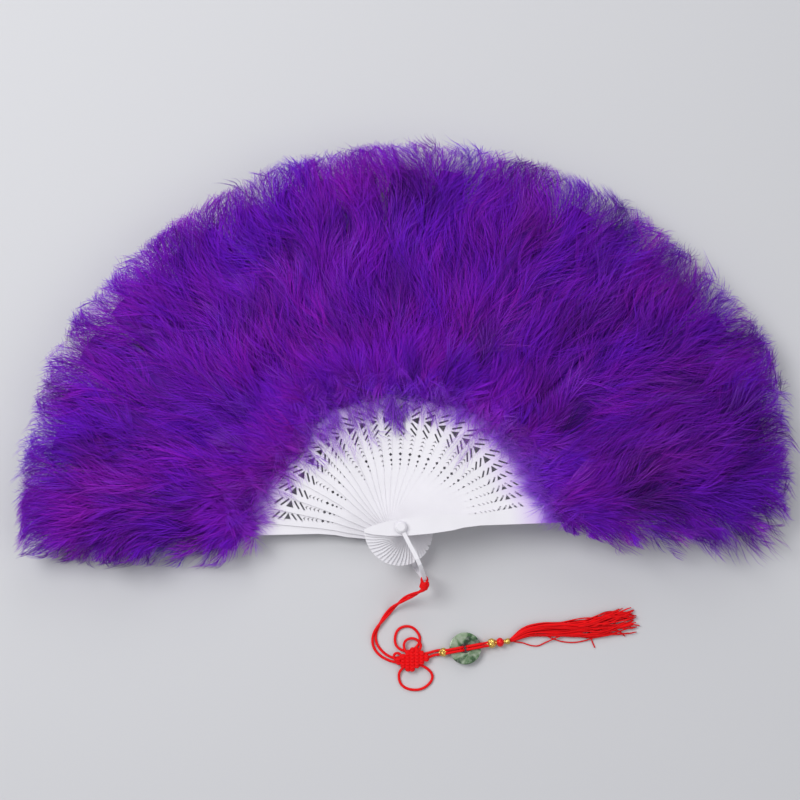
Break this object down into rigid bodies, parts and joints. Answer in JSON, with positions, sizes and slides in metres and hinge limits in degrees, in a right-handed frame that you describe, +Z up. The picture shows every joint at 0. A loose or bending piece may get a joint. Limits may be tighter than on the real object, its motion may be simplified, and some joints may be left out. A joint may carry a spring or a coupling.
{
  "type": "feather fan",
  "caption": "Folding feather fan lying open: pierced ribs and plain guards on a pivot pin, a marabou plume on each stick, and a bail with a knotted cord, disc, beads and tassel.",
  "frame": {"origin": "on the table under the middle of the open fan's bounding box, measured without the cord and what hangs on it", "axes": "+X towards the front guard (the viewer's right), +Y from the pivot out to the middle plumes, +Z up from the table"},
  "size_m": [0.5084, 0.3481, 0.04],
  "materials": {
    "white_plastic": "moulded, softly glossy",
    "violet_marabou": "dyed down, soft and matt with silky wisps",
    "red_cord": "braided satin cord and loose threads",
    "gold_bead": "plated, faceted and bright",
    "jade": "polished, mottled grey-green"
  },
  "bodies": {
    "root": {"rear_guard": "white_plastic", "rear_guard_plume": "violet_marabou", "pivot_pin": "white_plastic"},
    "rib_01": {"rib_01": "white_plastic", "rib_01_plume": "violet_marabou"},
    "rib_02": {"rib_02": "white_plastic", "rib_02_plume": "violet_marabou"},
    "rib_03": {"rib_03": "white_plastic", "rib_03_plume": "violet_marabou"},
    "rib_04": {"rib_04": "white_plastic", "rib_04_plume": "violet_marabou"},
    "rib_05": {"rib_05": "white_plastic", "rib_05_plume": "violet_marabou"},
    "rib_06": {"rib_06": "white_plastic", "rib_06_plume": "violet_marabou"},
    "rib_07": {"rib_07": "white_plastic", "rib_07_plume": "violet_marabou"},
    "rib_08": {"rib_08": "white_plastic", "rib_08_plume": "violet_marabou"},
    "rib_09": {"rib_09": "white_plastic", "rib_09_plume": "violet_marabou"},
    "rib_10": {"rib_10": "white_plastic", "rib_10_plume": "violet_marabou"},
    "rib_11": {"rib_11": "white_plastic", "rib_11_plume": "violet_marabou"},
    "rib_12": {"rib_12": "white_plastic", "rib_12_plume": "violet_marabou"},
    "rib_13": {"rib_13": "white_plastic", "rib_13_plume": "violet_marabou"},
    "rib_14": {"rib_14": "white_plastic", "rib_14_plume": "violet_marabou"},
    "rib_15": {"rib_15": "white_plastic", "rib_15_plume": "violet_marabou"},
    "rib_16": {"rib_16": "white_plastic", "rib_16_plume": "violet_marabou"},
    "rib_17": {"rib_17": "white_plastic", "rib_17_plume": "violet_marabou"},
    "rib_18": {"rib_18": "white_plastic", "rib_18_plume": "violet_marabou"},
    "rib_19": {"rib_19": "white_plastic", "rib_19_plume": "violet_marabou"},
    "rib_20": {"rib_20": "white_plastic", "rib_20_plume": "violet_marabou"},
    "rib_21": {"rib_21": "white_plastic", "rib_21_plume": "violet_marabou"},
    "rib_22": {"rib_22": "white_plastic", "rib_22_plume": "violet_marabou"},
    "rib_23": {"rib_23": "white_plastic", "rib_23_plume": "violet_marabou"},
    "rib_24": {"rib_24": "white_plastic", "rib_24_plume": "violet_marabou"},
    "rib_25": {"rib_25": "white_plastic", "rib_25_plume": "violet_marabou"},
    "front_guard": {"front_guard": "white_plastic", "front_guard_plume": "violet_marabou"},
    "bail": {"bail_loop": "white_plastic", "hanging_cord": "red_cord", "jade_disc": "jade", "bead_stack": "gold_bead", "tassel": "red_cord"}
  },
  "joints": [
    {"name": "fan_fold", "type": "hinge", "parent": "root", "child": "front_guard", "pos_m": [-0.00798, -0.10645, 0.00425], "axis": [0.073, 0, 0.9973], "range_deg": [0, 172], "deforming": ["rear_guard_plume", "rib_01_plume", "rib_02_plume", "rib_03_plume", "rib_04_plume", "rib_05_plume", "rib_06_plume", "rib_07_plume", "rib_08_plume", "rib_09_plume", "rib_10_plume", "rib_11_plume", "rib_12_plume", "rib_13_plume", "rib_14_plume", "rib_15_plume", "rib_16_plume", "rib_17_plume", "rib_18_plume", "rib_19_plume", "rib_20_plume", "rib_21_plume", "rib_22_plume", "rib_23_plume", "rib_24_plume", "rib_25_plume", "front_guard_plume"]},
    {"name": "rib_01_turn", "type": "hinge", "parent": "root", "child": "rib_01", "pos_m": [-0.00798, -0.10645, 0.00425], "axis": [0.073, 0, 0.9973], "range_deg": [0, 5.5]},
    {"name": "rib_02_turn", "type": "hinge", "parent": "root", "child": "rib_02", "pos_m": [-0.00798, -0.10645, 0.00425], "axis": [0.073, 0, 0.9973], "range_deg": [0, 12.3]},
    {"name": "rib_03_turn", "type": "hinge", "parent": "root", "child": "rib_03", "pos_m": [-0.00798, -0.10645, 0.00425], "axis": [0.073, 0, 0.9973], "range_deg": [0, 19.4]},
    {"name": "rib_04_turn", "type": "hinge", "parent": "root", "child": "rib_04", "pos_m": [-0.00798, -0.10645, 0.00425], "axis": [0.073, 0, 0.9973], "range_deg": [0, 28.7]},
    {"name": "rib_05_turn", "type": "hinge", "parent": "root", "child": "rib_05", "pos_m": [-0.00798, -0.10645, 0.00425], "axis": [0.073, 0, 0.9973], "range_deg": [0, 37.6]},
    {"name": "rib_06_turn", "type": "hinge", "parent": "root", "child": "rib_06", "pos_m": [-0.00798, -0.10645, 0.00425], "axis": [0.073, 0, 0.9973], "range_deg": [0, 43.6]},
    {"name": "rib_07_turn", "type": "hinge", "parent": "root", "child": "rib_07", "pos_m": [-0.00798, -0.10645, 0.00425], "axis": [0.073, 0, 0.9973], "range_deg": [0, 49.1]},
    {"name": "rib_08_turn", "type": "hinge", "parent": "root", "child": "rib_08", "pos_m": [-0.00798, -0.10645, 0.00425], "axis": [0.073, 0, 0.9973], "range_deg": [0, 54.4]},
    {"name": "rib_09_turn", "type": "hinge", "parent": "root", "child": "rib_09", "pos_m": [-0.00798, -0.10645, 0.00425], "axis": [0.073, 0, 0.9973], "range_deg": [0, 63]},
    {"name": "rib_10_turn", "type": "hinge", "parent": "root", "child": "rib_10", "pos_m": [-0.00798, -0.10645, 0.00425], "axis": [0.073, 0, 0.9973], "range_deg": [0, 69.7]},
    {"name": "rib_11_turn", "type": "hinge", "parent": "root", "child": "rib_11", "pos_m": [-0.00798, -0.10645, 0.00425], "axis": [0.073, 0, 0.9973], "range_deg": [0, 75.1]},
    {"name": "rib_12_turn", "type": "hinge", "parent": "root", "child": "rib_12", "pos_m": [-0.00798, -0.10645, 0.00425], "axis": [0.073, 0, 0.9973], "range_deg": [0, 82.1]},
    {"name": "rib_13_turn", "type": "hinge", "parent": "root", "child": "rib_13", "pos_m": [-0.00798, -0.10645, 0.00425], "axis": [0.073, 0, 0.9973], "range_deg": [0, 89.4]},
    {"name": "rib_14_turn", "type": "hinge", "parent": "root", "child": "rib_14", "pos_m": [-0.00798, -0.10645, 0.00425], "axis": [0.073, 0, 0.9973], "range_deg": [0, 96.7]},
    {"name": "rib_15_turn", "type": "hinge", "parent": "root", "child": "rib_15", "pos_m": [-0.00798, -0.10645, 0.00425], "axis": [0.073, 0, 0.9973], "range_deg": [0, 103.7]},
    {"name": "rib_16_turn", "type": "hinge", "parent": "root", "child": "rib_16", "pos_m": [-0.00798, -0.10645, 0.00425], "axis": [0.073, 0, 0.9973], "range_deg": [0, 110.8]},
    {"name": "rib_17_turn", "type": "hinge", "parent": "root", "child": "rib_17", "pos_m": [-0.00798, -0.10645, 0.00425], "axis": [0.073, 0, 0.9973], "range_deg": [0, 118.1]},
    {"name": "rib_18_turn", "type": "hinge", "parent": "root", "child": "rib_18", "pos_m": [-0.00798, -0.10645, 0.00425], "axis": [0.073, 0, 0.9973], "range_deg": [0, 124.7]},
    {"name": "rib_19_turn", "type": "hinge", "parent": "root", "child": "rib_19", "pos_m": [-0.00798, -0.10645, 0.00425], "axis": [0.073, 0, 0.9973], "range_deg": [0, 131.6]},
    {"name": "rib_20_turn", "type": "hinge", "parent": "root", "child": "rib_20", "pos_m": [-0.00798, -0.10645, 0.00425], "axis": [0.073, 0, 0.9973], "range_deg": [0, 138.9]},
    {"name": "rib_21_turn", "type": "hinge", "parent": "root", "child": "rib_21", "pos_m": [-0.00798, -0.10645, 0.00425], "axis": [0.073, 0, 0.9973], "range_deg": [0, 145.5]},
    {"name": "rib_22_turn", "type": "hinge", "parent": "root", "child": "rib_22", "pos_m": [-0.00798, -0.10645, 0.00425], "axis": [0.073, 0, 0.9973], "range_deg": [0, 151.5]},
    {"name": "rib_23_turn", "type": "hinge", "parent": "root", "child": "rib_23", "pos_m": [-0.00798, -0.10645, 0.00425], "axis": [0.073, 0, 0.9973], "range_deg": [0, 156.7]},
    {"name": "rib_24_turn", "type": "hinge", "parent": "root", "child": "rib_24", "pos_m": [-0.00798, -0.10645, 0.00425], "axis": [0.073, 0, 0.9973], "range_deg": [0, 162.3]},
    {"name": "rib_25_turn", "type": "hinge", "parent": "root", "child": "rib_25", "pos_m": [-0.00798, -0.10645, 0.00425], "axis": [0.073, 0, 0.9973], "range_deg": [0, 167.8]},
    {"name": "bail_swing", "type": "hinge", "parent": "root", "child": "bail", "pos_m": [-0.00798, -0.10645, 0.00425], "axis": [0.073, 0, 0.9973], "range_deg": [-50, 10]}
  ],
  "couplings": [
    {"joint": "rib_01_turn", "follows": "fan_fold", "ratio": 0.030814},
    {"joint": "rib_02_turn", "follows": "fan_fold", "ratio": 0.070349},
    {"joint": "rib_03_turn", "follows": "fan_fold", "ratio": 0.11163},
    {"joint": "rib_04_turn", "follows": "fan_fold", "ratio": 0.1657},
    {"joint": "rib_05_turn", "follows": "fan_fold", "ratio": 0.21744},
    {"joint": "rib_06_turn", "follows": "fan_fold", "ratio": 0.25233},
    {"joint": "rib_07_turn", "follows": "fan_fold", "ratio": 0.2843},
    {"joint": "rib_08_turn", "follows": "fan_fold", "ratio": 0.31512},
    {"joint": "rib_09_turn", "follows": "fan_fold", "ratio": 0.36512},
    {"joint": "rib_10_turn", "follows": "fan_fold", "ratio": 0.40407},
    {"joint": "rib_11_turn", "follows": "fan_fold", "ratio": 0.43547},
    {"joint": "rib_12_turn", "follows": "fan_fold", "ratio": 0.47616},
    {"joint": "rib_13_turn", "follows": "fan_fold", "ratio": 0.5186},
    {"joint": "rib_14_turn", "follows": "fan_fold", "ratio": 0.56105},
    {"joint": "rib_15_turn", "follows": "fan_fold", "ratio": 0.60174},
    {"joint": "rib_16_turn", "follows": "fan_fold", "ratio": 0.64302},
    {"joint": "rib_17_turn", "follows": "fan_fold", "ratio": 0.68547},
    {"joint": "rib_18_turn", "follows": "fan_fold", "ratio": 0.72384},
    {"joint": "rib_19_turn", "follows": "fan_fold", "ratio": 0.76395},
    {"joint": "rib_20_turn", "follows": "fan_fold", "ratio": 0.8064},
    {"joint": "rib_21_turn", "follows": "fan_fold", "ratio": 0.84477},
    {"joint": "rib_22_turn", "follows": "fan_fold", "ratio": 0.87965},
    {"joint": "rib_23_turn", "follows": "fan_fold", "ratio": 0.90988},
    {"joint": "rib_24_turn", "follows": "fan_fold", "ratio": 0.94244},
    {"joint": "rib_25_turn", "follows": "fan_fold", "ratio": 0.97442}
  ]
}
